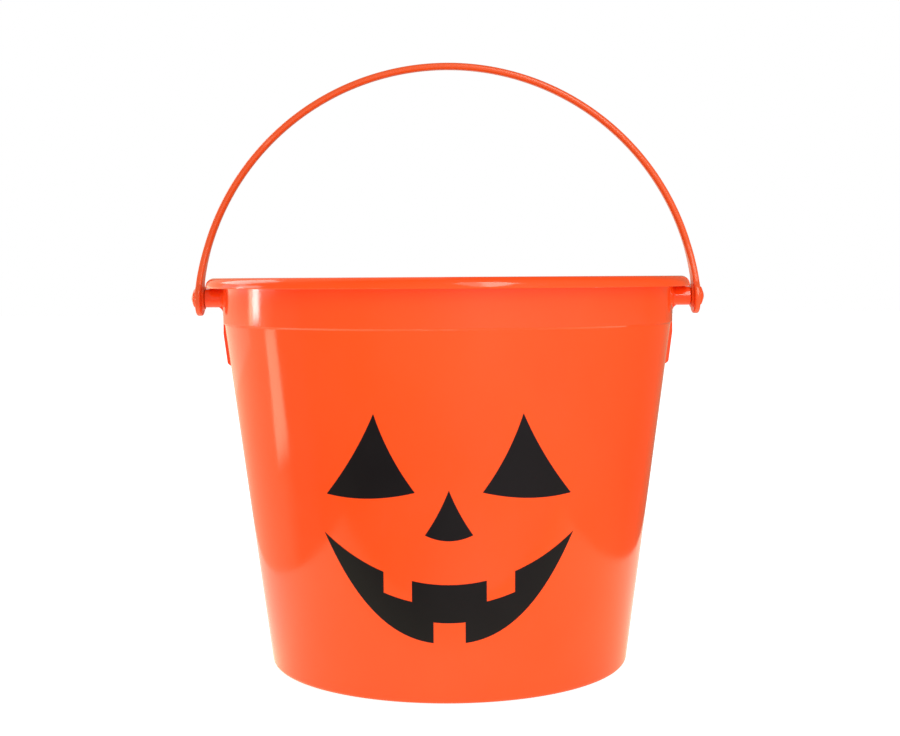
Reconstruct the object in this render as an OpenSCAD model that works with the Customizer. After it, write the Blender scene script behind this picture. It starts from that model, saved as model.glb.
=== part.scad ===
// Pumpkin candy pail: moulded pail, swing handle and printed face. Millimetres, +Z up, face toward -Y.

/* [Pail body] */
// Height from the table to the top of the rim
pail_h = 170.4; // [150:0.1:220]
// Outer radius of the wall where its slope meets the table
foot_r = 78.8; // [60:0.1:90]
// Outer radius of the collar under the rim
collar_r = 100.6; // [95:0.1:130]
// Height of the collar and rim together, above the small step
collar_h = 20.8; // [18:0.1:30]
// How much the collar widens from the step up to the rim
collar_lean = 0.3; // [0:0.1:2]
// How far the step stands out from the wall
step_w = 0.8; // [0.3:0.1:2]
// Height that the step takes
step_rise = 0.8; // [0.3:0.1:3]
// Thickness of wall and rim
wall_t = 1.2; // [0.8:0.1:1.8]
// Thickness of the floor
floor_t = 1.4; // [0.8:0.1:3]
// Rounding inside, between floor and wall
floor_round = 3.5; // [1:0.1:8]

/* [Foot] */
// Height of the floor's underside above the table
foot_lift = 2.4; // [1.5:0.1:6]
// Width of the flat ring that stands on the table
foot_flat = 1.2; // [0.5:0.1:4]
// Rounding of the outer bottom corner
foot_round = 2; // [0.5:0.1:4]
// Radius of the shallow dish under the middle of the floor
dish_r = 5; // [3:0.1:12]
// Depth of the dish
dish_deep = 0.4; // [0.1:0.05:0.7]
// Radius of the moulding stub in the dish
stub_r = 1.3; // [0.5:0.1:2.5]
// Length of the moulding stub
stub_h = 0.7; // [0.2:0.1:1.2]

/* [Rim] */
// Rounding where the inner wall turns out into the rim
mouth_round = 2.2; // [2:0.1:4]
// Width of the flat on top of the rim
rim_flat = 2.6; // [1:0.1:6]
// Rounding where the rim turns down
rim_round = 3.8; // [2.2:0.1:6]
// Height of the straight edge below that rounding
rim_skirt = 0.7; // [0.2:0.1:6]

/* [Handle posts] */
// Depth of the post axis below the top of the rim
post_drop = 9; // [8:0.1:11]
// Radius of the thin neck that the handle turns on
neck_r = 3.4; // [2:0.1:4]
// How much wider than the neck the post's thick root is
shoulder = 0.8; // [0.4:0.1:2]
// How far the thick root stands out past the rim
root_out = 1.3; // [0.5:0.1:4]
// Rounding where the root meets the collar
root_round = 2.2; // [0.5:0.1:3]
// How much wider than the neck the snap head is
head_over = 1.2; // [0.5:0.1:2]
// Height of the snap head's dome
head_h = 2.1; // [1.5:0.1:2.5]
// Radius of the small flat on the dome's tip
tip_r = 1.2; // [0.5:0.1:2]
// Thickness of the web above the post and of the rib below it
web_t = 2.2; // [1:0.1:4]
// How far the rib stands out from the collar
rib_out = 0.7; // [0.3:0.1:2]
// How far the rib stands out from the sloping wall
rib_w = 2.4; // [1.6:0.1:3.5]
// Depth of the rib's lower end below the post axis
rib_drop = 32; // [20:0.5:60]
// Rounding where the rib meets the post
rib_round = 3.4; // [3.2:0.1:4.5]

/* [Handle] */
// Depth of the arch's centre below the post axis
arch_low = 8.7; // [0:0.1:20]
// How far the strap's middle stands outside the eye's middle
arch_out = 0.65; // [0:0.05:1]
// Thickness of the strap, in the plane of the arch
strap_t = 3; // [2:0.1:6]
// Width of the flat between the strap's rounded edges
strap_flat = 2.6; // [0.5:0.1:8]
// Radius of the round eye at each end
eye_r = 8; // [7.5:0.1:12]
// Rounding of the eye's edge
eye_round = 0.9; // [0.3:0.1:1.5]
// Straight part of the eye's edge between its roundings
eye_land = 0.9; // [0.4:0.1:3]
// Width of the boss around the bore, on the eye's inner face
boss_w = 2.1; // [0.5:0.1:2.5]
// Height of that boss
boss_h = 0.9; // [0.3:0.1:2]
// How far the flare's wings lie below the strap's faces
wing_inset = 0.4; // [0.1:0.05:0.8]
// Height above the post axis where the wings end, which start at the eye's edge
flare_h = 24; // [12:0.5:50]

/* [Fits] */
// Running clearance between neck and bore, all round
bore_gap = 0.08; // [0.01:0.01:0.1]
// End play of the eye on its neck, at each side
side_gap = 0.25; // [0.05:0.05:1]

/* [Printed face] */
// Thickness of the ink
ink_t = 0.12; // [0.05:0.01:0.4]
// Distance of the ink's back from the wall
ink_gap = 0.02; // [0.01:0.01:0.1]
// Width of an eye's triangle, measured round the wall
tri_w = 36; // [15:0.5:50]
// Height of an eye's triangle
tri_h = 33; // [15:0.5:40]
// Distance from the middle of the face to the middle of an eye, round the wall
tri_s = 33.5; // [30:0.5:45]
// Height of the eyes' lower edge above the table
tri_z = 84; // [75:0.5:95]
// Width of the nose
nose_w = 19; // [8:0.5:26]
// Height of the nose
nose_h = 18; // [8:0.5:24]
// How far the nose's lower edge lies below the eyes
nose_drop = 15; // [8:0.5:18]
// Half width of the mouth, measured round the wall
mouth_s = 53; // [30:0.5:70]
// How far the mouth's corners lie below the eyes
mouth_drop = 16; // [14:0.5:24]
// Depth of the upper lip's curve
lip_deep = 19; // [14:0.5:24]
// Height of the open mouth at its middle
grin_h = 24; // [20:0.5:28]
// Height of a tooth
tooth_h = 8.5; // [3:0.5:10]

/* [Hidden] */
$fn = 128;
overrun = 20;
edge_steps = 20;
jaw_power = 2.3;
tri_shares = [[-0.56, 0.06], [0.5, 0], [-0.1, 1]];
tri_bow_shares = [0.05, -0.04, -0.04];
nose_shares = [[-0.5, 0], [0.5, 0], [0, 1]];
nose_bow_shares = [0.12, -0.03, -0.03];
upper_teeth_shares = [[-0.5, -0.28], [0.28, 0.5]];
lower_teeth_shares = [[-0.12, 0.12]];

// Wall and foot
step_z = pail_h - collar_h;
collar_low_r = collar_r - collar_lean;
step_r = collar_low_r - step_w;
taper = (step_r - foot_r) / step_z;
lean = sqrt(1 + taper * taper);
lean_deg = atan(taper);
wall_across = wall_t * lean;
floor_z = foot_lift + floor_t;
foot_c = foot_r + taper * foot_round - foot_round * lean;

// Rim
mouth_c = collar_r - wall_t + mouth_round;
rim_c = mouth_c + rim_flat;
rim_r = rim_c + rim_round;

// Posts, and the handle's eyes on them
post_z = pail_h - post_drop;
root_r = neck_r + shoulder;
root_end = rim_r + root_out;
bore_r = neck_r + bore_gap;
boss_r = bore_r + boss_w;
eye_in = root_end + side_gap + boss_h;
eye_t = eye_land + 2 * eye_round;
head_x = eye_in + eye_t + side_gap;
head_r = neck_r + head_over;
rib_x = collar_r + rib_out;
rib_low = post_z - rib_drop;
rib_bend = max(rib_low + rib_w, min(step_z, (rib_x - rib_w - foot_r) / taper));
rib_top = post_z - root_r + wall_t / 3 - rib_round;
dome_c = (tip_r * tip_r + head_h * head_h - head_r * head_r) / (2 * head_h);
dome_r = sqrt(head_r * head_r + dome_c * dome_c);

// Arch
arch_z = post_z - arch_low;
arch_x = eye_in + eye_t / 2 + arch_out;
arch_r = sqrt(arch_x * arch_x + arch_low * arch_low);
strap_low = (head_r + eye_r) / 2;
flare_w = 2 * sqrt(eye_r * eye_r - strap_low * strap_low);

// Mouth
corner_z = tri_z - mouth_drop;

// Pail: wall with its foot ring, floor, step, collar and turned down rim, one moulding with both posts and ribs
function wall_r(z) = foot_r + taper * z;

module wall_section() {
  polygon([
    [0, foot_lift],
    [foot_c - foot_flat, foot_lift],
    [foot_c - foot_flat, 0],
    [foot_c, 0],
    [foot_c + foot_round * cos(lean_deg), foot_round - foot_round * sin(lean_deg)],
    [step_r, step_z],
    [collar_low_r, step_z + step_rise],
    [collar_r, pail_h - mouth_round],
    [collar_r - wall_t, pail_h - mouth_round],
    [collar_low_r - wall_t, step_z + step_rise],
    [step_r - wall_across, step_z],
    [wall_r(floor_z) - wall_across, floor_z],
    [0, floor_z]
  ]);
  translate([foot_c, foot_round])
    circle(r = foot_round);
}

module floor_fillet_section() {
  in_r = wall_r(floor_z) - wall_across;
  fillet_c = in_r + taper * floor_round - floor_round * lean;
  difference() {
    polygon([
      [fillet_c, floor_z - floor_t / 2],
      [in_r + wall_across / 2, floor_z - floor_t / 2],
      [in_r + wall_across / 2, floor_z],
      [fillet_c + floor_round * cos(lean_deg), floor_z + floor_round - floor_round * sin(lean_deg)],
      [fillet_c, floor_z + floor_round]
    ]);
    translate([fillet_c, floor_z + floor_round])
      circle(r = floor_round);
  }
}

module bend_section(r, side) {
  intersection() {
    difference() {
      circle(r = r);
      circle(r = r - wall_t);
    }
    translate([min(side, 0) * r, 0])
      square([r, r]);
  }
}

module rim_section() {
  translate([mouth_c, pail_h - mouth_round])
    bend_section(mouth_round, -1);
  translate([mouth_c, pail_h - wall_t])
    square([rim_flat, wall_t]);
  translate([rim_c, pail_h - rim_round])
    bend_section(rim_round, 1);
  translate([rim_r - wall_t, pail_h - rim_round - rim_skirt])
    square([wall_t, rim_skirt]);
}

module along_x(from) {
  translate([from, 0, post_z])
    rotate([0, 90, 0])
      children();
}

module post() {
  root = collar_r - wall_t / 2;
  along_x(root)
    cylinder(r = root_r, h = root_end - root);
  along_x(root)
    cylinder(r = neck_r, h = head_x - root + head_h / 2);
  along_x(head_x)
    rotate_extrude()
      intersection() {
        translate([0, dome_c])
          circle(r = dome_r);
        square([head_r, head_h]);
      }
  along_x(root)
    rotate_extrude()
      difference() {
        square([root_r + root_round, wall_t / 2 + root_round]);
        translate([root_r + root_round, wall_t / 2 + root_round])
          circle(r = root_round);
      }
  translate([root, -web_t / 2, post_z])
    cube([rim_r - wall_t / 2 - root, web_t, post_drop - wall_t / 2]);
}

module rib_section() {
  difference() {
    polygon([
      [collar_low_r - wall_t / 2, post_z - root_r / 2],
      [rib_x + rib_round, post_z - root_r / 2],
      [rib_x + rib_round, rib_top],
      [rib_x, rib_top],
      [rib_x, rib_bend],
      [wall_r(rib_low + rib_w) + rib_w, rib_low + rib_w],
      [wall_r(rib_low) - wall_across / 2, rib_low],
      [step_r - wall_across / 2, step_z],
      [collar_low_r - wall_t / 2, step_z + step_rise]
    ]);
    translate([rib_x + rib_round, rib_top])
      circle(r = rib_round);
  }
}

module rib() {
  rotate([90, 0, 0])
    translate([0, 0, -web_t / 2])
      linear_extrude(height = web_t)
        rib_section();
}

module pail_shell() {
  color([0.99, 0.36, 0.16])
    difference() {
      union() {
        rotate_extrude() {
          wall_section();
          floor_fillet_section();
          rim_section();
        }
        for (side = [0, 180])
          rotate([0, 0, side]) {
            post();
            rib();
          }
        translate([0, 0, foot_lift + dish_deep - stub_h])
          cylinder(r = stub_r, h = stub_h);
      }
      difference() {
        translate([0, 0, foot_lift - overrun])
          cylinder(r = dish_r, h = overrun + dish_deep);
        translate([0, 0, foot_lift - overrun])
          cylinder(r = stub_r, h = overrun * 2);
      }
    }
}

// Handle: one strap bent over into an arch, with a round eye at each end
module strap_section() {
  translate([arch_r - strap_t / 2, -strap_flat / 2])
    square([strap_t, strap_flat]);
  for (end = [-1, 1])
    translate([arch_r, end * strap_flat / 2])
      circle(r = strap_t / 2);
}

module wing_section() {
  translate([arch_r - strap_t / 2 + wing_inset, -flare_w / 2])
    square([strap_t - 2 * wing_inset, flare_w]);
}

module arch(from, to) {
  translate([0, 0, arch_z])
    rotate([90, 0, 0])
      rotate([0, 0, from])
        rotate_extrude(angle = to - from)
          children();
}

module flare() {
  intersection() {
    arch(0, asin((arch_low + flare_h) / arch_r))
      wing_section();
    translate([0, 0, post_z])
      rotate([90, 0, 90])
        linear_extrude(height = arch_r + strap_t)
          polygon([
            [-flare_w / 2, strap_low],
            [flare_w / 2, strap_low],
            [strap_flat / 2, flare_h],
            [-strap_flat / 2, flare_h]
          ]);
  }
}

module eye_plate() {
  along_x(eye_in)
    rotate_extrude() {
      square([eye_r - eye_round, eye_t]);
      translate([0, eye_round])
        square([eye_r, eye_land]);
      for (z = [eye_round, eye_t - eye_round])
        translate([eye_r - eye_round, z])
          circle(r = eye_round);
    }
  along_x(eye_in - boss_h)
    cylinder(r1 = boss_r - boss_h / 2, r2 = boss_r, h = boss_h + eye_t / 2);
}

module bail_handle() {
  start = asin((arch_low + strap_low) / arch_r);
  color([0.97, 0.38, 0.18])
    difference() {
      union() {
        arch(start, 180 - start)
          strap_section();
        for (side = [0, 180])
          rotate([0, 0, side]) {
            eye_plate();
            flare();
          }
      }
      along_x(-arch_r - strap_t)
        cylinder(r = bore_r, h = 2 * (arch_r + strap_t));
    }
}

// Face: four areas of black ink, drawn flat and wrapped round the front of the wall
function wrap(p) = [wall_r(p[1]) * sin(p[0] / wall_r(p[1]) * 180 / PI), p[1]];

function edge_at(p, q, bow, t) = p + t * (q - p) + bow * 4 * t * (1 - t) * [q[1] - p[1], p[0] - q[0]];

function edge(p, q, bow) = [for (i = [0 : edge_steps - 1]) edge_at(p, q, bow, i / edge_steps)];

function triangle(c, bows) = [for (i = [0 : 2]) each edge(c[i], c[(i + 1) % 3], bows[i])];

function lip_at(u, drop) = [mouth_s * u, corner_z - lip_deep * (1 - u * u) - drop];

function jaw_at(u, rise) = [mouth_s * u, corner_z - (lip_deep + grin_h) * (1 - pow(abs(u), jaw_power)) + rise];

function lip_run(a, b, drop) = [for (i = [0 : edge_steps]) lip_at(a + (b - a) * i / edge_steps, drop)];

function jaw_run(a, b, rise) = [for (i = [0 : edge_steps]) jaw_at(a + (b - a) * i / edge_steps, rise)];

module ink(outline) {
  back = ink_gap * lean;
  front = (ink_gap + ink_t) * lean;
  color([0.15, 0.13, 0.14])
    intersection() {
      rotate_extrude()
        polygon([
          [wall_r(floor_z) + back, floor_z],
          [wall_r(floor_z) + front, floor_z],
          [wall_r(step_z) + front, step_z],
          [wall_r(step_z) + back, step_z]
        ]);
      rotate([90, 0, 0])
        linear_extrude(height = rim_r)
          polygon([for (p = outline) wrap(p)]);
    }
}

module left_eye_print() {
  corners = [for (c = tri_shares) [-tri_s - c[0] * tri_w, tri_z + c[1] * tri_h]];
  ink(triangle(corners, -tri_bow_shares));
}

module right_eye_print() {
  corners = [for (c = tri_shares) [tri_s + c[0] * tri_w, tri_z + c[1] * tri_h]];
  ink(triangle(corners, tri_bow_shares));
}

module nose_print() {
  corners = [for (c = nose_shares) [c[0] * nose_w, tri_z - nose_drop + c[1] * nose_h]];
  ink(triangle(corners, nose_bow_shares));
}

module mouth_print() {
  upper = upper_teeth_shares;
  lower = lower_teeth_shares;
  ink(concat(
    lip_run(-1, upper[0][0], 0),
    lip_run(upper[0][0], upper[0][1], tooth_h),
    lip_run(upper[0][1], upper[1][0], 0),
    lip_run(upper[1][0], upper[1][1], tooth_h),
    lip_run(upper[1][1], 1, 0),
    jaw_run(1, lower[0][1], 0),
    jaw_run(lower[0][1], lower[0][0], tooth_h),
    jaw_run(lower[0][0], -1, 0)
  ));
}

pail_shell();
bail_handle();
left_eye_print();
right_eye_print();
nose_print();
mouth_print();
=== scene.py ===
import math

import bmesh
import bpy
import numpy as np
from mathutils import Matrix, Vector


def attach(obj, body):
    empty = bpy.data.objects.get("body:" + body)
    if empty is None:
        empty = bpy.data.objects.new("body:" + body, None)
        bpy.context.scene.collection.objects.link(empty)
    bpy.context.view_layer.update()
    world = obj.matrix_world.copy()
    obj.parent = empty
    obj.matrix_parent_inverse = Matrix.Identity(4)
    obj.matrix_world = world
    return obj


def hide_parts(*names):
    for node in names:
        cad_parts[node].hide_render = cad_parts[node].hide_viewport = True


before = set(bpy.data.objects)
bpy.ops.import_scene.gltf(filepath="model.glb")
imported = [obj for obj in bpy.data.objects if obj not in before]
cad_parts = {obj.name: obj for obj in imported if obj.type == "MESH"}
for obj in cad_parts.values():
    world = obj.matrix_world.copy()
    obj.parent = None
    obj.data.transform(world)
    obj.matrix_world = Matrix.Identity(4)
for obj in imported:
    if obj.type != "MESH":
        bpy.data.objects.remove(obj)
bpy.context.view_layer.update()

# The pail is one injection moulding in glossy orange polypropylene: a raised floor on a thin foot ring, a
# tapered wall, a small step, a collar, and a rim that turns out and down. Each handle post, the web above it
# and the rib below it leave the same mould. Sizes are in millimetres.
MM = 0.001
PAIL_TURNS = 288
BEND_STEPS = 8
GATE_R = 1.3
GATE_LOW = 2.1
DISH_R = 5.0
DISH_Z = 2.8
FLOOR_UNDER = 2.4
FLOOR_Z = 3.8
FLOOR_R = 78.11
FOOT_IN_R = 75.86
WALL_FOOT_R = 78.8
WALL_TOP_R = 99.5
WALL_TOP_Z = 149.6
WALL_TAPER = (WALL_TOP_R - WALL_FOOT_R) / WALL_TOP_Z
WALL_ACROSS = 1.211
STEP_Z = WALL_TOP_Z + 0.8
COLLAR_R = 100.6
COLLAR_TOP = 169.2
COLLAR_LEAN = 0.3
COLLAR_ACROSS_LOW = 1.5
COLLAR_ACROSS_TOP = 1.2
RIM_IN_R = 106.8
RIM_R = 108.0
RIM_LOW = 165.9
RIM_TOP = 170.4
RIM_BEND = 3.8

POST_TURNS = 72
POST_Z = 161.4
POST_START = 99.6
ROOT_R = 7.0
ROOT_X = 100.42
LAID_TO = 103.0
LAID_OVER = 2.5
POST_R = 4.2
SHOULDER_X = 109.3
NECK_R = 3.4
HEAD_R = 4.6
HEAD_X = 113.4
POST_END = 115.5
RIB_THICK = 2.2
RIB_EDGE = 0.3
WEB_IN = 99.9
WEB_OUT = 107.3
WEB_TOP = 169.8
RIB_IN = 99.7
RIB_TOP = 159.3
RIB_ARM_OUT = 105.2
RIB_ARM_LOW = 157.6
RIB_OUT = 101.3


def rounded(corners, steps=6, support=0.1):
    """Points along a line whose corners (x, y, bend) are rounded, with one more point beside each bend."""
    line = []
    for i, (x, y, radius) in enumerate(corners):
        here = Vector((x, y))
        if radius == 0 or i in (0, len(corners) - 1):
            line.append((x, y))
            continue
        back = (Vector(corners[i - 1][:2]) - here).normalized()
        ahead = (Vector(corners[i + 1][:2]) - here).normalized()
        half = back.angle(ahead) / 2
        reach = radius / math.tan(half)
        centre = here + (back + ahead).normalized() * radius / math.sin(half)
        start, end = here + back * reach - centre, here + ahead * reach - centre
        sweep = -start.angle_signed(end)
        line.append(tuple(centre + start + back * support))
        for k in range(steps + 1):
            c, s = math.cos(sweep * k / steps), math.sin(sweep * k / steps)
            line.append((centre.x + start.x * c - start.y * s, centre.y + start.x * s + start.y * c))
        line.append(tuple(centre + end + ahead * support))
    return line


def smooth_piece(name, shape):
    """Puts a shape into the scene as a smooth shaded piece, with its faces turned outward."""
    bmesh.ops.recalc_face_normals(shape, faces=shape.faces)
    mesh = bpy.data.meshes.new(name)
    shape.to_mesh(mesh)
    shape.free()
    mesh.shade_smooth()
    piece = bpy.data.objects.new(name, mesh)
    bpy.context.scene.collection.objects.link(piece)
    return piece


def solid(name, points, faces):
    """A smooth shaded piece from points in millimetres."""
    shape = bmesh.new()
    corners = [shape.verts.new([c * MM for c in p]) for p in points]
    for face in faces:
        shape.faces.new([corners[k] for k in face])
    return smooth_piece(name, shape)


def turned(name, line, turns, place):
    """Turns a line of (radius, height) round its axis. place(radius, angle, height) gives each point."""
    points, rings, faces = [], [], []
    for radius, height in line:
        count = turns if radius > 1e-6 else 1
        rings.append(range(len(points), len(points) + count))
        points += [place(radius, math.tau * k / turns, height) for k in range(count)]
    for a, b in zip(rings, rings[1:]):
        for k in range(turns):
            n = (k + 1) % turns
            face = (a[k % len(a)], a[n % len(a)], b[n % len(b)], b[k % len(b)])
            faces.append(tuple(dict.fromkeys(face)))
    return solid(name, points, faces)


def settled(piece):
    """Keeps the mesh that a piece's modifiers give, and drops the modifiers."""
    depsgraph = bpy.context.evaluated_depsgraph_get()
    piece.data = bpy.data.meshes.new_from_object(piece.evaluated_get(depsgraph))
    piece.modifiers.clear()
    piece.data.name = piece.name
    return piece


def plate(name, side, outline, thick, edge):
    """A flat rib across the pail: its outline (x, z) made thick, with a small rounding along each edge."""
    shape = bmesh.new()
    front = shape.faces.new([shape.verts.new((side * x, -thick / 2, z)) for x, z in outline])
    back = bmesh.ops.extrude_face_region(shape, geom=[front], use_keep_orig=True)["geom"]
    far = [v for v in back if isinstance(v, bmesh.types.BMVert)]
    bmesh.ops.translate(shape, verts=far, vec=(0, thick, 0))
    around = [e for e in shape.edges if abs(e.verts[0].co.y - e.verts[1].co.y) < thick / 2]
    bmesh.ops.bevel(shape, geom=around, offset=edge, segments=3, profile=0.5, affect="EDGES")
    points = [tuple(v.co) for v in shape.verts]
    shape.verts.index_update()
    faces = [[v.index for v in f.verts] for f in shape.faces]
    shape.free()
    return solid(name, points, faces)


def on_pail(radius, angle, height):
    """Places a turned point round the pail's upright axis."""
    return radius * math.cos(angle), radius * math.sin(angle), height


def on_post(side):
    """Places a turned point round a post's level axis, with its root laid on the collar's curve."""
    def place(radius, angle, height):
        y, z = radius * math.cos(angle), radius * math.sin(angle)
        drop = COLLAR_R - math.sqrt(COLLAR_R ** 2 - y ** 2)
        share = min(1.0, max(0.0, (LAID_TO - height) / LAID_OVER))
        return side * (height - drop * share), side * y, POST_Z + z
    return place


# Half section of the pail, from the gate stub under the floor out, up and back in: radius, height, bend
pail = turned("pail_moulding", rounded([
    (0, GATE_LOW, 0), (GATE_R, GATE_LOW, 0.2), (GATE_R, DISH_Z, 0.12), (DISH_R, DISH_Z, 0.15),
    (DISH_R, FLOOR_UNDER, 0.15), (FOOT_IN_R, FLOOR_UNDER, 0.5), (FOOT_IN_R, 0, 0.35), (WALL_FOOT_R, 0, 2.0),
    (WALL_TOP_R, WALL_TOP_Z, 0.5), (COLLAR_R - COLLAR_LEAN, STEP_Z, 0.35), (COLLAR_R, COLLAR_TOP, 1.0),
    (RIM_IN_R, COLLAR_TOP, 2.6), (RIM_IN_R, RIM_LOW, 0.3), (RIM_R, RIM_LOW, 0.4), (RIM_R, RIM_TOP, RIM_BEND),
    (COLLAR_R - COLLAR_ACROSS_TOP, RIM_TOP, 2.2), (COLLAR_R - COLLAR_ACROSS_LOW, STEP_Z, 0.5),
    (WALL_TOP_R - WALL_ACROSS, WALL_TOP_Z, 0.35), (FLOOR_R, FLOOR_Z, 3.5), (0, FLOOR_Z, 0),
], steps=BEND_STEPS), PAIL_TURNS, on_pail)

# Half section of a post, from inside the collar out to the end of its snap head: radius, distance, bend
post_line = rounded([
    (0, POST_START, 0), (ROOT_R, POST_START, 0), (ROOT_R, ROOT_X, 0), (POST_R, ROOT_X, 2.2),
    (POST_R, SHOULDER_X, 0.3), (NECK_R, SHOULDER_X, 0.2), (NECK_R, HEAD_X, 0.2), (HEAD_R, HEAD_X, 0.3),
    (3.9, 114.5, 0.9), (1.3, POST_END, 1.0), (0, POST_END, 0),
], support=0.05)

# Web between post and rim, and the rib that starts under the post and runs down over the step: x, height
web_line = [(WEB_IN, POST_Z), (WEB_OUT, POST_Z), (WEB_OUT, WEB_TOP), (WEB_IN, WEB_TOP)]
rib_line = rounded([
    (RIB_IN, RIB_TOP, 0), (RIB_ARM_OUT, RIB_TOP, 0), (RIB_ARM_OUT, RIB_ARM_LOW, 0),
    (RIB_OUT, RIB_ARM_LOW, 3.4), (RIB_OUT, 145.3, 8.0), (99.44, 131.8, 1.6), (96.1, 129.4, 0),
    (98.9, WALL_TOP_Z, 0), (RIB_IN, STEP_Z, 0),
])
for side, hand in ((1, "right"), (-1, "left")):
    post = turned("post_" + hand, post_line, POST_TURNS, on_post(side))
    web = plate("web_" + hand, side, web_line, RIB_THICK, RIB_EDGE)
    rib = plate("rib_" + hand, side, rib_line, RIB_THICK, RIB_EDGE)
    for part in (post, web, rib):
        fuse = pail.modifiers.new("fuse", "BOOLEAN")
        fuse.operation = "UNION"
        fuse.object = part
        settled(pail)
        bpy.data.objects.remove(part)
pail.modifiers.new("level", "WEIGHTED_NORMAL")
settled(pail)
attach(pail, "pail")
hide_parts("pail_shell")

# Both mouldings share one polished mould finish: slow waves in the wall, a faint orange peel, dull drag
# lines along the draw and cloudy pigment. Edges that are stacked and handled are rubbed a little paler.
DRAG_PER_METRE = 700.0
DRAG_STRETCH = 0.03
DRAG_SHARE = 0.3
CLOUDS_PER_METRE = 45.0
PIGMENT_PER_METRE = 13.0
RUBBED_ORANGE = (1.0, 0.3, 0.15, 1)
RUBBED_SHARE = 0.3
RUBBED_DULL = 0.15


def material(name):
    """A new material and its node tree."""
    made = bpy.data.materials.new(name)
    made.use_nodes = True
    return made, made.node_tree


def node(tree, kind, sockets, **settings):
    """Adds a shader node, with a value or a link for each named socket, and gives its outputs."""
    made = tree.nodes.new("ShaderNode" + kind)
    for name, value in settings.items():
        setattr(made, name, value)
    for key, value in sockets.items():
        if isinstance(value, bpy.types.NodeSocket):
            tree.links.new(value, made.inputs[key])
        else:
            made.inputs[key].default_value = value
    return made.outputs


def group(name, inputs, outputs):
    """Starts a node group with named number sockets, and gives its tree, inputs and outputs."""
    tree = bpy.data.node_groups.new(name, "ShaderNodeTree")
    for label in inputs:
        tree.interface.new_socket(label, in_out="INPUT", socket_type="NodeSocketFloat")
    for label in outputs:
        tree.interface.new_socket(label, in_out="OUTPUT", socket_type="NodeSocketFloat")
    return tree, tree.nodes.new("NodeGroupInput").outputs, tree.nodes.new("NodeGroupOutput").inputs


def placed(tree, which, values):
    """Places a node group in a material with its own values, and gives its outputs."""
    made = tree.nodes.new("ShaderNodeGroup")
    made.node_tree = which
    for label, value in values.items():
        made.inputs[label].default_value = value
    return made.outputs


def dulled(tree, haze, least, most):
    """Roughness between the least and the most, from the finish's haze."""
    return node(tree, "MapRange", {
        "Value": haze, "From Min": 0.3, "From Max": 1.1, "To Min": least, "To Max": most,
    })[0]


def surfaced(tree, colour, gloss, height):
    """Feeds a material's own shader with its colour, roughness and bump, and gives the shader."""
    bump = node(tree, "Bump", {"Height": height, "Distance": 1.0})[0]
    shader = tree.nodes["Principled BSDF"]
    tree.links.new(colour, shader.inputs["Base Color"])
    tree.links.new(gloss, shader.inputs["Roughness"])
    tree.links.new(bump, shader.inputs["Normal"])
    return shader


finish, given, result = group(
    "mould_finish",
    ["Waves per metre", "Wave height", "Peel per metre", "Peel height"],
    ["Height", "Haze", "Pigment"],
)
spot = node(finish, "TexCoord", {})["Object"]
waves = node(finish, "TexNoise", {"Vector": spot, "Scale": given["Waves per metre"], "Detail": 1.0})[0]
peel = node(finish, "TexNoise", {"Vector": spot, "Scale": given["Peel per metre"], "Detail": 2.0})[0]
drawn = node(finish, "Mapping", {"Vector": spot, "Scale": (1.0, 1.0, DRAG_STRETCH)})[0]
drag = node(finish, "TexNoise", {"Vector": drawn, "Scale": DRAG_PER_METRE, "Detail": 3.0})[0]
drag = node(finish, "MapRange", {"Value": drag, "From Min": 0.52, "From Max": 0.78})[0]
height = node(finish, "Math", {0: waves, 1: given["Wave height"]}, operation="MULTIPLY")[0]
height = node(finish, "Math", {0: peel, 1: given["Peel height"], 2: height}, operation="MULTIPLY_ADD")[0]
finish.links.new(height, result["Height"])
cloud = node(finish, "TexNoise", {"Vector": spot, "Scale": CLOUDS_PER_METRE, "Detail": 4.0})[0]
haze = node(finish, "Math", {0: drag, 1: DRAG_SHARE, 2: cloud}, operation="MULTIPLY_ADD")[0]
finish.links.new(haze, result["Haze"])
pigment = node(finish, "TexNoise", {
    "Vector": spot, "Scale": PIGMENT_PER_METRE, "Detail": 5.0, "Distortion": 0.8,
})[0]
pigment = node(finish, "MapRange", {"Value": pigment, "From Min": 0.3, "From Max": 0.7})[0]
finish.links.new(pigment, result["Pigment"])

rubbed, given, result = group("rubbed_edges", ["Onset", "Full", "Patches per metre"], ["Mask"])
sharpness = node(rubbed, "NewGeometry", {})["Pointiness"]
edges = node(rubbed, "MapRange", {
    "Value": sharpness, "From Min": given["Onset"], "From Max": given["Full"],
})[0]
spot = node(rubbed, "TexCoord", {})["Object"]
patches = node(rubbed, "TexNoise", {"Vector": spot, "Scale": given["Patches per metre"], "Detail": 6.0})[0]
patches = node(rubbed, "MapRange", {"Value": patches, "From Min": 0.45, "From Max": 0.65})[0]
mask = node(rubbed, "Math", {0: edges, 1: patches}, operation="MULTIPLY")[0]
rubbed.links.new(mask, result["Mask"])

# The pail's orange, with a duller inside: a point nearer the axis than the middle of the wall is inside
INSIDE_DULL = 0.14
HALF_WALL = 0.6
HALF_COLLAR = 0.8
pail_plastic, tree = material("pail_plastic")
skin = placed(tree, finish, {
    "Waves per metre": 28.0, "Wave height": 0.00007, "Peel per metre": 900.0, "Peel height": 0.0000015,
})
worn = placed(tree, rubbed, {"Onset": 0.53, "Full": 0.62, "Patches per metre": 60.0})["Mask"]
paler = node(tree, "Math", {0: worn, 1: RUBBED_SHARE}, operation="MULTIPLY")[0]
colour = node(tree, "Mix", {
    0: skin["Pigment"], 6: (0.965, 0.069, 0.0062, 1), 7: (0.965, 0.078, 0.0085, 1),
}, data_type="RGBA")[2]
colour = node(tree, "Mix", {0: paler, 6: colour, 7: RUBBED_ORANGE}, data_type="RGBA")[2]
spot = node(tree, "TexCoord", {})["Object"]
rise = node(tree, "SeparateXYZ", {0: spot})["Z"]
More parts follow.
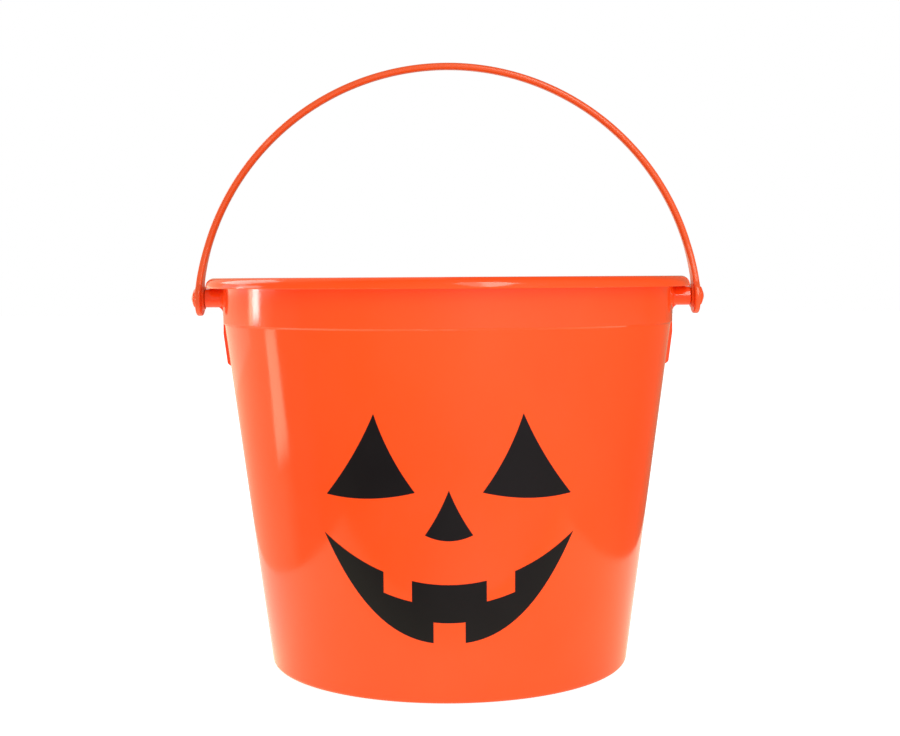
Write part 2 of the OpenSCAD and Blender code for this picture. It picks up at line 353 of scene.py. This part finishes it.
from_axis = node(tree, "VectorMath", {0: spot, 1: (1, 1, 0)}, operation="MULTIPLY")[0]
from_axis = node(tree, "VectorMath", {0: from_axis}, operation="LENGTH")["Value"]
middle = node(tree, "Math", {
    0: rise, 1: WALL_TAPER, 2: (WALL_FOOT_R - HALF_WALL) * MM,
}, operation="MULTIPLY_ADD")[0]
middle = node(tree, "Math", {0: middle, 1: (COLLAR_R - HALF_COLLAR) * MM}, operation="MINIMUM")[0]
inside = node(tree, "Math", {0: from_axis, 1: middle}, operation="LESS_THAN")[0]
gloss = dulled(tree, skin["Haze"], 0.09, 0.17)
gloss = node(tree, "Math", {0: inside, 1: INSIDE_DULL, 2: gloss}, operation="MULTIPLY_ADD")[0]
gloss = node(tree, "Math", {0: worn, 1: RUBBED_DULL, 2: gloss}, operation="MULTIPLY_ADD")[0]
surfaced(tree, colour, gloss, skin["Height"])
pail.data.materials.append(pail_plastic)

# The face is screen printed in black ink on the finished wall: two bowed triangles for the eyes, a third
# for the nose and a broad grin with square teeth. Each area is a thin film that follows the cone.
FACE_LEAN = math.hypot(1, WALL_TAPER)
INK_BACK = 0.02
INK_FRONT = 0.14
INK_CORNER = math.radians(40)
STRIP_WIDE = 1.5
STRIP_HIGH = 6.0
EYE_LOW = 84.0
EYE_OUT = 33.5
EYE_WIDE = 36
EYE_HIGH = 33
NOSE_LOW = 69.0
NOSE_WIDE = 19
NOSE_HIGH = 18
MOUTH_CORNER = 68.0
MOUTH_HALF = 53.0
LIP_DEEP = 19.0
GRIN_HIGH = 24.0
JAW_ROUND = 2.3
TOOTH_HIGH = 8.5
UPPER_TOOTH = (0.28, 0.5)
LOWER_TOOTH = 0.12
EDGE_STEPS = 20


def bowed(corners, bows):
    """A triangle's outline. Each side is bowed by its own share of its length."""
    line = []
    for i in range(3):
        p, q = Vector(corners[i]), Vector(corners[(i + 1) % 3])
        out = Vector((q.y - p.y, p.x - q.x)) * bows[i]
        line += [p.lerp(q, t) + out * 4 * t * (1 - t) for t in (k / EDGE_STEPS for k in range(EDGE_STEPS))]
    return line


def lip(u, drop):
    """Point of the grin's upper edge, from -1 at its left corner to 1, lowered where a tooth is."""
    return Vector((MOUTH_HALF * u, MOUTH_CORNER - LIP_DEEP * (1 - u * u) - drop))


def jaw(u, rise):
    """Point of the grin's lower edge, raised where a tooth is."""
    deep = (LIP_DEEP + GRIN_HIGH) * (1 - abs(u) ** JAW_ROUND)
    return Vector((MOUTH_HALF * u, MOUTH_CORNER - deep + rise))


def printed(name, outline):
    """A film of ink: the flat outline cut into narrow strips, thickened and wrapped round the wall."""
    shape = bmesh.new()
    shape.faces.new([shape.verts.new((p.x, 0, p.y)) for p in outline])
    for axis, gap in ((0, STRIP_WIDE), (2, STRIP_HIGH)):
        low = min((p.x, 0, p.y)[axis] for p in outline)
        high = max((p.x, 0, p.y)[axis] for p in outline)
        for k in range(1, int((high - low) / gap) + 1):
            cut = Vector((0, 0, 0))
            cut[axis] = low + k * gap
            normal = Vector((0, 0, 0))
            normal[axis] = 1
            bmesh.ops.bisect_plane(shape, geom=shape.verts[:] + shape.edges[:] + shape.faces[:],
                                   plane_co=cut, plane_no=normal, dist=1e-4)
    made = bmesh.ops.extrude_face_region(shape, geom=shape.faces[:], use_keep_orig=True)
    backs = {v for v in made["geom"] if isinstance(v, bmesh.types.BMVert)}
    for v in shape.verts:
        around, z = v.co.x, v.co.z
        radius = WALL_FOOT_R + WALL_TAPER * z
        angle = around / radius
        radius += (INK_BACK if v in backs else INK_FRONT) * FACE_LEAN
        v.co = Vector((radius * math.sin(angle), -radius * math.cos(angle), z)) * MM
    piece = smooth_piece(name, shape)
    piece.data.set_sharp_from_angle(angle=INK_CORNER)
    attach(piece, "pail")
    return piece


areas = {}
for side, area in ((-1, "left_eye_print"), (1, "right_eye_print")):
    corners = [
        (side * (EYE_OUT + EYE_WIDE * a), EYE_LOW + EYE_HIGH * b)
        for a, b in ((-0.56, 0.06), (0.5, 0), (-0.1, 1))
    ]
    areas[area] = bowed(corners, [side * bow for bow in (0.05, -0.04, -0.04)])
corners = [(NOSE_WIDE * a, NOSE_LOW + NOSE_HIGH * b) for a, b in ((-0.5, 0), (0.5, 0), (0, 1))]
areas["nose_print"] = bowed(corners, (0.12, -0.03, -0.03))
near, far = UPPER_TOOTH
mouth = []
for run, start, end, step in (
    (lip, -1, -far, 0), (lip, -far, -near, TOOTH_HIGH), (lip, -near, near, 0), (lip, near, far, TOOTH_HIGH),
    (lip, far, 1, 0), (jaw, 1, LOWER_TOOTH, 0), (jaw, LOWER_TOOTH, -LOWER_TOOTH, TOOTH_HIGH),
    (jaw, -LOWER_TOOTH, -1, 0),
):
    points = [run(start + (end - start) * k / EDGE_STEPS, step) for k in range(EDGE_STEPS + 1)]
    mouth += [p for p in points if not mouth or (p - mouth[-1]).length > 1e-6]
if (mouth[0] - mouth[-1]).length < 1e-6:
    mouth.pop()
areas["mouth_print"] = mouth

face_ink, tree = material("face_ink")
skin = placed(tree, finish, {
    "Waves per metre": 28.0, "Wave height": 0.00007, "Peel per metre": 2500.0, "Peel height": 0.000004,
})
colour = node(tree, "Mix", {
    0: skin["Pigment"], 6: (0.0065, 0.0045, 0.005, 1), 7: (0.0095, 0.007, 0.0075, 1),
}, data_type="RGBA")[2]
shader = surfaced(tree, colour, dulled(tree, skin["Haze"], 0.32, 0.42), skin["Height"])
shader.inputs["Specular IOR Level"].default_value = 0.2
for name, outline in areas.items():
    area = printed(name + "_film", outline)
    area.data.materials.append(face_ink)
    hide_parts(name)

# The handle is a second moulding: a slim strap with round edges that is moulded flat, bent over into an
# arch and snapped by the round eye at each end over its post. A boss round each bore meets the shoulder.
ARCH_R = 112.79
ARCH_Z = 152.7
ARCH_START = math.radians(9.34)
ARCH_POINTS = 721
BEND_POINTS = 30
EYE_X = 111.8
EYE_R = 8.0
EYE_PAST = 9
EYE_TOP = 9.0
EYE_THICK = 2.7
EYE_EDGE = 0.9
EYE_POINTS = 49
BORE_R = 3.48
BOSS_R = 5.58
BOSS_HIGH = 0.9
STRAP_HALF = 2.8
STRAP_THICK = 3.0
STRAP_EDGE = 1.45
STRAP_POINTS = 66
THICKEN_FROM = 8
THICKEN_OVER = 20
FLARE_FROM = Vector((4.93, 6.3))
FLARE_TO = Vector((STRAP_HALF, 24.0))
FLARE_FILLET = 4.0
FILLET_POINTS = 10
FLARE_POINTS = 14
STRAIGHTEN_FROM = 0.8
STRAIGHTEN_OVER = 0.2
EDGE_BENDS = 5
EDGE_SUPPORT = 0.12

# Middle line of the strap, which starts EYE_PAST below the right eye's centre, runs over the arch and ends
# as far below the left eye's
bend_end = Vector((ARCH_R * math.cos(ARCH_START), ARCH_Z + ARCH_R * math.sin(ARCH_START)))
bend_turn = Vector((EYE_X, bend_end.y - (EYE_X - bend_end.x) / math.tan(ARCH_START)))
bend_start = Vector((EYE_X, bend_turn.y - (bend_end - bend_turn).length))
right_end = [Vector((EYE_X, POST_Z - EYE_PAST)), bend_start]
for k in range(1, BEND_POINTS):
    t = k / BEND_POINTS
    right_end.append(bend_start.lerp(bend_turn, t).lerp(bend_turn.lerp(bend_end, t), t))
arch = [
    Vector((ARCH_R * math.cos(a), ARCH_Z + ARCH_R * math.sin(a)))
    for a in np.linspace(ARCH_START, math.pi - ARCH_START, ARCH_POINTS)
]
middle = np.array(right_end + arch + [Vector((-p.x, p.y)) for p in reversed(right_end)])
reach = np.concatenate([[0], np.cumsum(np.linalg.norm(np.diff(middle, axis=0), axis=1))]) - EYE_PAST
length = reach[-1] - EYE_PAST
heading = np.gradient(middle, reach, axis=0)
heading /= np.linalg.norm(heading, axis=1)[:, None]


def bent(across, along, out):
    """Point of the flat moulding, given across, along and out of its middle line, once it is bent over."""
    x, z = (np.interp(along, reach, middle[:, k]) for k in (0, 1))
    dx, dz = (np.interp(along, reach, heading[:, k]) for k in (0, 1))
    return x + dz * out, across, z - dx * out


# Outline of one end on the flat, from the eye's lowest point to the middle: point, outward direction. Its
# points up to EYE_TOP frame the eye's round face
down = (FLARE_TO - FLARE_FROM).normalized()
aside = Vector((down.y, -down.x))
offset = FLARE_FROM + aside * FLARE_FILLET
slant = offset.dot(down)
slide = math.sqrt(slant * slant - offset.length_squared + (EYE_R + FLARE_FILLET) ** 2) - slant
fillet = offset + down * slide
top = math.atan2(fillet.y, fillet.x)
outline = []
for a in np.linspace(-math.pi / 2, top, EYE_POINTS):
    out = Vector((math.cos(a), math.sin(a)))
    outline.append((out * EYE_R, out))
turn_start = top - math.pi
turn_end = math.atan2(-aside.y, -aside.x)
if turn_end >= turn_start:
    turn_end -= math.tau
for a in np.linspace(turn_start, turn_end, FILLET_POINTS)[1:]:
    out = Vector((math.cos(a), math.sin(a)))
    outline.append((fillet + out * FLARE_FILLET, -out))
flare_start = outline[-1][0]
for t in np.linspace(0, 1, FLARE_POINTS)[1:]:
    p = flare_start.lerp(FLARE_TO, t)
    turn = max(0.0, (t - STRAIGHTEN_FROM) / STRAIGHTEN_OVER) ** 2
    outline.append((p, aside.lerp(Vector((1, 0)), turn).normalized()))
eye_count = next(i for i, (p, _) in enumerate(outline) if p.y > EYE_TOP)
for along in np.linspace(FLARE_TO.y, length / 2, STRAP_POINTS)[1:]:
    outline.append((Vector((STRAP_HALF, along)), Vector((1, 0))))
outline += [(Vector((p.x, length - p.y)), Vector((out.x, -out.y))) for p, out in reversed(outline[:-1])]

# Edge loops: each outline point gets a rounded edge from the outer face round to the inner one
points, loops = [], []
count = len(outline)
for side in (1, -1):
    for i in range(count) if side == 1 else range(count - 2, 0, -1):
        p, out = outline[i]
        along = min(p.y, length - p.y)
        share = min(1.0, max(0.0, (along - THICKEN_FROM) / THICKEN_OVER))
        share = share * share * (3 - 2 * share)
        edge = EYE_EDGE + (STRAP_EDGE - EYE_EDGE) * share
        half = (EYE_THICK + (STRAP_THICK - EYE_THICK) * share) / 2
        rows = [(edge + EDGE_SUPPORT, half)]
        for k in range(EDGE_BENDS + 1):
            a = math.pi / 2 * k / EDGE_BENDS
            rows.append((edge * (1 - math.sin(a)), half - edge * (1 - math.cos(a))))
        rows += [(inset, -level) for inset, level in reversed(rows)]
        loops.append(range(len(points), len(points) + len(rows)))
        for inset, level in rows:
            q = p - out * inset
            points.append(bent(side * q.x, q.y, level))
rows = len(loops[0])
faces = []
for i, loop in enumerate(loops):
    ahead = loops[(i + 1) % len(loops)]
    faces += [(loop[k], ahead[k], ahead[k + 1], loop[k + 1]) for k in range(rows - 1)]


def twin(i):
    """The loop that lies across the strap from loop i."""
    return loops[-i % len(loops)]


# Both broad faces along the strap, then each eye's face round its bore and the bore with its boss
for k in (0, rows - 1):
    for i in range(eye_count, count - 1 - eye_count):
        faces.append((loops[i][k], loops[i + 1][k], twin(i + 1)[k], twin(i)[k]))
outer = EYE_THICK / 2
inner = -EYE_THICK / 2 - BOSS_HIGH
bore_line = rounded([
    (BORE_R + 0.8, outer, 0), (BORE_R, outer, 0.25), (BORE_R, inner, 0.2), (BOSS_R - 0.45, inner, 0.15),
    (BOSS_R, -outer, 0.15), (BOSS_R + 0.5, -outer, 0),
], steps=4, support=0.04)
for end in (0, 1):
    rings = []
    for radius, level in bore_line:
        ring = []
        for i in range(2 * eye_count):
            a = math.pi * i / eye_count - math.pi / 2
            ring.append(len(points))
            along = radius * math.sin(a)
            points.append(bent(radius * math.cos(a), length - along if end else along, level))
        rings.append(ring)
    for a, b in zip(rings, rings[1:]):
        faces += [(a[k], a[(k + 1) % len(a)], b[(k + 1) % len(a)], b[k]) for k in range(len(a))]
    for ring, k in ((rings[0], 0), (rings[-1], rows - 1)):
        near = [loops[count - 1 - i if end else i][k] for i in range(eye_count + 1)]
        far = [twin(count - 1 - i if end else i)[k] for i in range(eye_count + 1)]
        for i in range(eye_count):
            faces.append((near[i], near[i + 1], ring[i + 1], ring[i]))
            faces.append((far[i + 1], far[i], ring[-i % len(ring)], ring[-i - 1]))
        faces.append((near[eye_count], far[eye_count], ring[eye_count]))
handle = solid("handle_strap", points, faces)
handle.modifiers.new("level", "WEIGHTED_NORMAL")
settled(handle)
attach(handle, "bail")
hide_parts("bail_handle")

handle_plastic, tree = material("handle_plastic")
skin = placed(tree, finish, {
    "Waves per metre": 90.0, "Wave height": 0.00001, "Peel per metre": 500.0, "Peel height": 0.0000008,
})
worn = placed(tree, rubbed, {"Onset": 0.53, "Full": 0.62, "Patches per metre": 90.0})["Mask"]
paler = node(tree, "Math", {0: worn, 1: RUBBED_SHARE}, operation="MULTIPLY")[0]
colour = node(tree, "Mix", {
    0: skin["Pigment"], 6: (0.75, 0.08, 0.011, 1), 7: (0.78, 0.092, 0.015, 1),
}, data_type="RGBA")[2]
colour = node(tree, "Mix", {0: paler, 6: colour, 7: RUBBED_ORANGE}, data_type="RGBA")[2]
gloss = dulled(tree, skin["Haze"], 0.22, 0.32)
gloss = node(tree, "Math", {0: worn, 1: RUBBED_DULL, 2: gloss}, operation="MULTIPLY_ADD")[0]
surfaced(tree, colour, gloss, skin["Height"])
handle.data.materials.append(handle_plastic)

# Studio: the pail stands on a plain white floor under soft light, before a white ground. The floor also
# glows evenly, which is painted light that fills in its shadow and lights the pail from below. Its gloss
# alone sees the lighter and darker sides of the room, some glowing cards and a sheet of cream paper under
# the pail whose glow is painted light and shade. Sizes are in metres from here on.
FLOOR_LEVEL = -0.0003
FLOOR_HALF = 6
FLOOR_GLOW = 0.88
SHEET_FRONT = -0.165
SHEET_BACK = 0.45
SHEET_FADE = 0.05


def level_sheet(name, corners, height):
    """A level sheet of paper, which isn't part of the pail."""
    mesh = bpy.data.meshes.new(name)
    mesh.from_pydata([(x, y, height) for x, y in corners], [], [(0, 1, 2, 3)])
    sheet = bpy.data.objects.new(name, mesh)
    bpy.context.scene.collection.objects.link(sheet)
    return sheet


def glow_only(name):
    """A material that does nothing but give off light, with its tree and the socket for its surface."""
    made, tree = material(name)
    tree.nodes.remove(tree.nodes["Principled BSDF"])
    return made, tree, tree.nodes["Material Output"].inputs["Surface"]


def for_gloss_alone(piece):
    """Hides a piece from all but the reflections in glossy surfaces."""
    piece.visible_camera = piece.visible_diffuse = piece.visible_shadow = False


floor = level_sheet("floor", [
    (-FLOOR_HALF, -FLOOR_HALF), (FLOOR_HALF, -FLOOR_HALF),
    (FLOOR_HALF, FLOOR_HALF), (-FLOOR_HALF, FLOOR_HALF),
], FLOOR_LEVEL)
floor.visible_glossy = False
floor_paper, tree = material("floor_paper")
spot = node(tree, "TexCoord", {})["Object"]
fibre = node(tree, "TexNoise", {"Vector": spot, "Scale": 400.0, "Detail": 3.0})[0]
fibre = node(tree, "MapRange", {"Value": fibre, "To Min": 0.5, "To Max": 0.52})[0]
shader = tree.nodes["Principled BSDF"]
tree.links.new(fibre, shader.inputs["Base Color"])
shader.inputs["Roughness"].default_value = 1.0
shader.inputs["Specular IOR Level"].default_value = 0.0
# The paper's even glow is painted light: it keeps the floor white, fills in the pail's shadow on it and
# lights the pail from below
shader.inputs["Emission Color"].default_value = (1, 1, 1, 1)
shader.inputs["Emission Strength"].default_value = FLOOR_GLOW
floor.data.materials.append(floor_paper)

# The cream sheet's light by azimuth from the front in degrees, positive to the right, and its warmth: this
# glow is painted light, brightest on the left, where the window's light would fall on it, and painted shade
# that dims it to the right and at its front edge
SHEET_ROUND = [
    (-180, 0.80, 1.2), (-100, 1.18, 1.3), (-80, 1.27, 1.44), (-48, 1.04, 1.5), (0, 0.83, 1.34),
    (40, 0.66, 1.3), (85, 0.86, 1.48), (120, 1.03, 1.3), (179, 0.80, 1.2),
]


def shades(tree, value, stops):
    """A colour ramp from stops (place, colour)."""
    ramp = tree.nodes.new("ShaderNodeValToRGB")
    tree.links.new(value, ramp.inputs[0])
    made = ramp.color_ramp.elements
    for i, (place, colour) in enumerate(stops):
        stop = made[i] if i < 2 else made.new(place)
        stop.position = place
        stop.color = (*colour, 1)
    return ramp.outputs[0]


def azimuth_share(tree, place):
    """Azimuth from the front of a place or direction, as 0 to 1 for -180 to 180 degrees."""
    parts = node(tree, "SeparateXYZ", {0: place})
    front = node(tree, "Math", {0: parts["Y"], 1: -1.0}, operation="MULTIPLY")[0]
    azimuth = node(tree, "Math", {0: parts["X"], 1: front}, operation="ARCTAN2")[0]
    return node(tree, "MapRange", {"Value": azimuth, "From Min": -math.pi, "From Max": math.pi})[0]


sheet = level_sheet("cream_sheet", [
    (-0.207, SHEET_FRONT), (0.228, SHEET_FRONT), (0.17, SHEET_BACK), (-0.16, SHEET_BACK),
], FLOOR_LEVEL / 2)
for_gloss_alone(sheet)
cream_sheet_glow, tree, surface = glow_only("cream_sheet_glow")
spot = node(tree, "TexCoord", {})["Object"]
glow = shades(tree, azimuth_share(tree, spot), [
    ((degrees + 180) / 360, (light / 2, light / 2, light / warmth / 2))
    for degrees, light, warmth in SHEET_ROUND
])
# Painted shade: the sheet glows less along its front edge
front_edge_shade = node(tree, "MapRange", {
    "Value": node(tree, "SeparateXYZ", {0: spot})["Y"],
    "From Min": SHEET_FRONT, "From Max": SHEET_FRONT + SHEET_FADE, "To Min": 0.9, "To Max": 2.0,
})[0]
glow = node(tree, "Emission", {"Color": glow, "Strength": front_edge_shade})[0]
tree.links.new(glow, surface)
sheet.data.materials.append(cream_sheet_glow)

# Cards beside the pail, on its left, that glow by themselves: lights that only the gloss sees. The low card
# gives the stripe down the wall, the high and the side card the stripe on the collar, the back card the pale
# left edge of the wall, and the rim card and both lip cards the light along the left end of the rim
WARM = (1.7, 1.4, 1.0)
WHITE = (1.1, 1.05, 1.0)


def card(name, edges, shade, glow, low=-2.0, high=-1.0):
    """A glowing card that only the gloss sees. It gives no light below the height low and its full glow
    above the height high.
    """
    mesh = bpy.data.meshes.new(name)
    mesh.from_pydata([corner for row in edges for corner in row], [], [
        (2 * k, 2 * k + 1, 2 * k + 3, 2 * k + 2) for k in range(len(edges) - 1)
    ])
    made = bpy.data.objects.new(name, mesh)
    bpy.context.scene.collection.objects.link(made)
    for_gloss_alone(made)
    lit, tree, surface = glow_only(name)
    rise = node(tree, "SeparateXYZ", {0: node(tree, "TexCoord", {})["Object"]})["Z"]
    level = node(tree, "MapRange", {"Value": rise, "From Min": low, "From Max": high, "To Max": glow})[0]
    light = node(tree, "Emission", {"Color": (*shade, 1), "Strength": level})[0]
    tree.links.new(light, surface)
    mesh.materials.append(lit)


def upright(left, right, low, high):
    """The lower and upper edge of an upright card whose ends stand at left and right (x, y)."""
    return [((*left, z), (*right, z)) for z in (low, high)]


card("low_card", [
    ((-0.3976, 0.0566, -0.012), (-0.4149, -0.0185, -0.012)),
    ((-0.4044, 0.0266, 0.085), (-0.4161, -0.024, 0.085)),
], WARM, 2.15, low=-0.012, high=0.008)
card("high_card", upright((-0.3978, 0.0766), (-0.4104, 0.0421), 0.13, 0.17),
     WHITE, 11.3, low=0.1365, high=0.1385)
card("side_card", upright((-0.3899, 0.0983), (-0.3958, 0.0821), 0.135, 0.163), WARM, 3.6)
card("back_card", upright((-0.2262, 0.3394), (-0.4172, 0.1484), 0.078, 0.135), WARM, 0.75)
card("rim_card", upright((-0.209, 0.366), (-0.42, 0.19), 0.156, 0.18), WARM, 0.9)
card("lip_card", upright((-0.413, 0.079), (-0.435, -0.044), 0.157, 0.25), WHITE, 3.0)
card("lip_side_card", upright((-0.372, 0.18), (-0.413, 0.079), 0.157, 0.25), WHITE, 1.1)

# A window above the camera and to its right, half of it behind a blind: the lens of light on the front of
# the rim
card("window_card", [
    ((0.21, -0.79, 0.24), (0.26, -0.77, 0.24)), ((0.20, -0.765, 0.40), (0.34, -0.71, 0.40)),
    ((0.20, -0.72, 0.66), (0.42, -0.63, 0.66)), ((0.20, -0.68, 0.98), (0.34, -0.62, 0.98)),
], WHITE, 6.3)
card("blind_card", [
    ((0.15, -0.79, 0.30), (0.20, -0.775, 0.30)), ((0.11, -0.80, 0.40), (0.20, -0.765, 0.40)),
    ((0.03, -0.79, 0.66), (0.20, -0.72, 0.66)), ((0.08, -0.725, 0.98), (0.20, -0.68, 0.98)),
], WHITE, 2.6)

# The room's light: by azimuth from the front in degrees, positive to the right, with its warmth, and by
# height, from -1 straight down to 1 straight up, as a share. The fill is what the matt surfaces get
ROOM_ROUND = [
    (-180, 0.40, 1.6), (-145, 0.42, 2.1), (-107, 0.44, 2.1), (-96, 0.19, 1.6), (-83, 0.20, 1.1),
    (-76, 0.13, 1.0), (-45, 0.14, 1.0), (-14, 0.28, 1.0), (16, 0.54, 1.0), (60, 0.46, 1.0), (120, 0.10, 1.3),
    (145, 0.09, 2.2), (179, 0.18, 1.9),
]
ROOM_UP = [
    (-1.0, 0.8), (-0.455, 1.1), (-0.443, 1.0), (-0.426, 0.7), (-0.41, 0.6), (-0.37, 0.77), (-0.31, 1.0),
    (-0.2, 1.0), (-0.16, 1.15), (-0.1, 1.35), (-0.06, 1.85), (-0.05, 2.2), (-0.043, 1.5), (-0.037, 0.9),
    (-0.02, 1.1), (0.0, 1.3), (0.1, 1.1), (0.4, 1.0), (1.0, 0.8),
]
ROOM_FILL = 0.82
room = bpy.data.worlds.new("room")
bpy.context.scene.world = room
room.use_nodes = True
room.cycles.sampling_method = "NONE"
tree = room.node_tree
direction = node(tree, "TexCoord", {})["Generated"]
around = shades(tree, azimuth_share(tree, direction), [
    ((degrees + 180) / 360, (light * warmth, light * (1 + warmth) / 2, light))
    for degrees, light, warmth in ROOM_ROUND
])
height = node(tree, "SeparateXYZ", {0: direction})["Z"]
height = node(tree, "MapRange", {"Value": height, "From Min": -1.0, "From Max": 1.0})[0]
upward = shades(tree, height, [((z + 1) / 2, (light / 2,) * 3) for z, light in ROOM_UP])
found = node(tree, "VectorMath", {0: around, 1: upward}, operation="MULTIPLY")[0]
found = node(tree, "VectorMath", {0: found, "Scale": 2.0}, operation="SCALE")[0]
rays = node(tree, "LightPath", {})
seen = node(tree, "Mix", {
    0: rays["Is Glossy Ray"], 6: (ROOM_FILL, ROOM_FILL, ROOM_FILL, 1), 7: found,
}, data_type="RGBA")[2]
seen = node(tree, "Mix", {0: rays["Is Camera Ray"], 6: seen, 7: (1, 1, 1, 1)}, data_type="RGBA")[2]
tree.links.new(seen, tree.nodes["Background"].inputs["Color"])


def softbox(name, place, aim, width, height, watts):
    """A soft oblong light that faces a point."""
    lamp = bpy.data.lights.new(name, "AREA")
    lamp.shape = "RECTANGLE"
    lamp.size, lamp.size_y = width, height
    lamp.energy = watts
    light = bpy.data.objects.new(name, lamp)
    light.location = place
    light.rotation_euler = (Vector(aim) - Vector(place)).to_track_quat("-Z", "Y").to_euler()
    bpy.context.scene.collection.objects.link(light)
    return light


key = softbox("key", (0.32, -0.70, 0.40), (0, 0, 0.13), 0.50, 0.47, 2.0)
key.visible_glossy = False
softbox("back", (-0.90, 0.56, 0.78), (0, 0, 0.15), 0.6, 0.6, 3.2)
bpy.context.scene.view_settings.view_transform = "Standard"

# The camera stands level at the height of the rim, about two thirds of a metre before the pail's axis,
# which lies at AXIS_PX across the photograph's frame, with the rim's height at RIM_PX from its top
FRAME_WIDE = 900
FRAME_HIGH = 736
AXIS_PX = 447.6
RIM_PX = 276.9
CAMERA_BACK = 0.666
CAMERA_TILT = -0.0057
eye = bpy.data.cameras.new("camera")
eye.lens = 58.96
eye.sensor_width = 36.0
eye.shift_x = (FRAME_WIDE / 2 - AXIS_PX) / FRAME_WIDE
eye.shift_y = (RIM_PX - FRAME_HIGH / 2) / FRAME_WIDE
camera = bpy.data.objects.new("camera", eye)
camera.location = (0.0, -CAMERA_BACK, RIM_TOP * MM)
camera.rotation_euler = (math.radians(90), 0, 0)
camera.rotation_euler.rotate_axis("Z", CAMERA_TILT)
bpy.context.scene.collection.objects.link(camera)
bpy.context.scene.camera = camera
